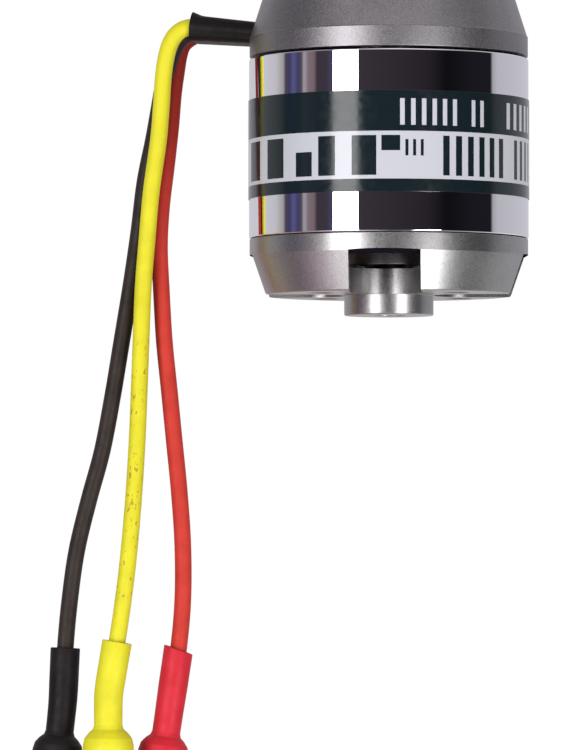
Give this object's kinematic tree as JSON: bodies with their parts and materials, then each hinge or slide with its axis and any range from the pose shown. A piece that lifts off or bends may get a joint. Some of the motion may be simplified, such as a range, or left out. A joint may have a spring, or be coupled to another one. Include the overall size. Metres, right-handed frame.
{
  "type": "brushless outrunner motor",
  "caption": "Brushless outrunner motor: conical front shield with winding and bearings, spinning magnet ring with windowed end cap, coloured leads ending in bullet plugs.",
  "frame": {"origin": "centre of the front mounting face of the stationary shield", "axes": "+Z out of the mounting face along the shaft, -X towards the lead exit (which stands 12 degrees from it), the rotor hangs towards -Z"},
  "size_m": [0.0507, 0.0282, 0.1088],
  "materials": {
    "satin_aluminium": "fine bead-blasted and turned, satin",
    "chrome": "polished plating",
    "ground_steel": "ground and polished",
    "black_oxide_steel": "black oxide",
    "lamination_coating": "powder-coated laminations",
    "enamelled_copper": "enamelled winding wire",
    "nickel_plate": "nickel-plated magnet",
    "brass": "turned brass",
    "gold_plate": "gold-plated brass",
    "label_print": "printed film, dark and white bands, gloss",
    "black_tube": "shrunk tube, satin",
    "yellow_tube": "shrunk tube, satin gloss",
    "red_tube": "shrunk tube, satin gloss"
  },
  "bodies": {
    "stator": {"front_shield": "satin_aluminium", "stator_core": "lamination_coating", "coil_01": "enamelled_copper", "coil_02": "enamelled_copper", "coil_03": "enamelled_copper", "coil_04": "enamelled_copper", "coil_05": "enamelled_copper", "coil_06": "enamelled_copper", "coil_07": "enamelled_copper", "coil_08": "enamelled_copper", "coil_09": "enamelled_copper", "coil_10": "enamelled_copper", "coil_11": "enamelled_copper", "coil_12": "enamelled_copper", "front_bearing_outer": "ground_steel", "rear_bearing_outer": "ground_steel", "lead_sheath": "black_tube", "lead_yellow": "yellow_tube", "sleeve_yellow": "yellow_tube", "bullet_yellow": "gold_plate", "spring_yellow": "gold_plate", "lead_black": "black_tube", "sleeve_black": "black_tube", "bullet_black": "gold_plate", "spring_black": "gold_plate", "lead_red": "red_tube", "sleeve_red": "red_tube", "bullet_red": "gold_plate", "spring_red": "gold_plate"},
    "rotor": {"shaft": "ground_steel", "bell_end_cap": "satin_aluminium", "flux_ring": "chrome", "label_film": "label_print", "magnet_01": "nickel_plate", "magnet_02": "nickel_plate", "magnet_03": "nickel_plate", "magnet_04": "nickel_plate", "magnet_05": "nickel_plate", "magnet_06": "nickel_plate", "magnet_07": "nickel_plate", "magnet_08": "nickel_plate", "magnet_09": "nickel_plate", "magnet_10": "nickel_plate", "magnet_11": "nickel_plate", "magnet_12": "nickel_plate", "magnet_13": "nickel_plate", "magnet_14": "nickel_plate", "front_bearing_inner": "ground_steel", "rear_bearing_inner": "ground_steel", "front_washer": "brass", "rear_washer": "brass", "shaft_collar": "black_oxide_steel", "collar_screw": "black_oxide_steel", "grub_screw_1": "black_oxide_steel", "grub_screw_2": "black_oxide_steel"},
    "front_cage": {"front_bearing_cage": "brass"},
    "rear_cage": {"rear_bearing_cage": "brass"}
  },
  "joints": [
    {"name": "rotor_spin", "type": "hinge", "parent": "stator", "child": "rotor", "pos_m": [0, 0, -0.018], "axis": [0, 0, 1], "continuous": true},
    {"name": "front_cage_roll", "type": "hinge", "parent": "stator", "child": "front_cage", "pos_m": [0, 0, -0.00189], "axis": [0, 0, 1], "continuous": true},
    {"name": "rear_cage_roll", "type": "hinge", "parent": "stator", "child": "rear_cage", "pos_m": [0, 0, -0.0272], "axis": [0, 0, 1], "continuous": true}
  ],
  "couplings": [
    {"joint": "front_cage_roll", "follows": "rotor_spin", "ratio": 0.404},
    {"joint": "rear_cage_roll", "follows": "rotor_spin", "ratio": 0.404}
  ]
}
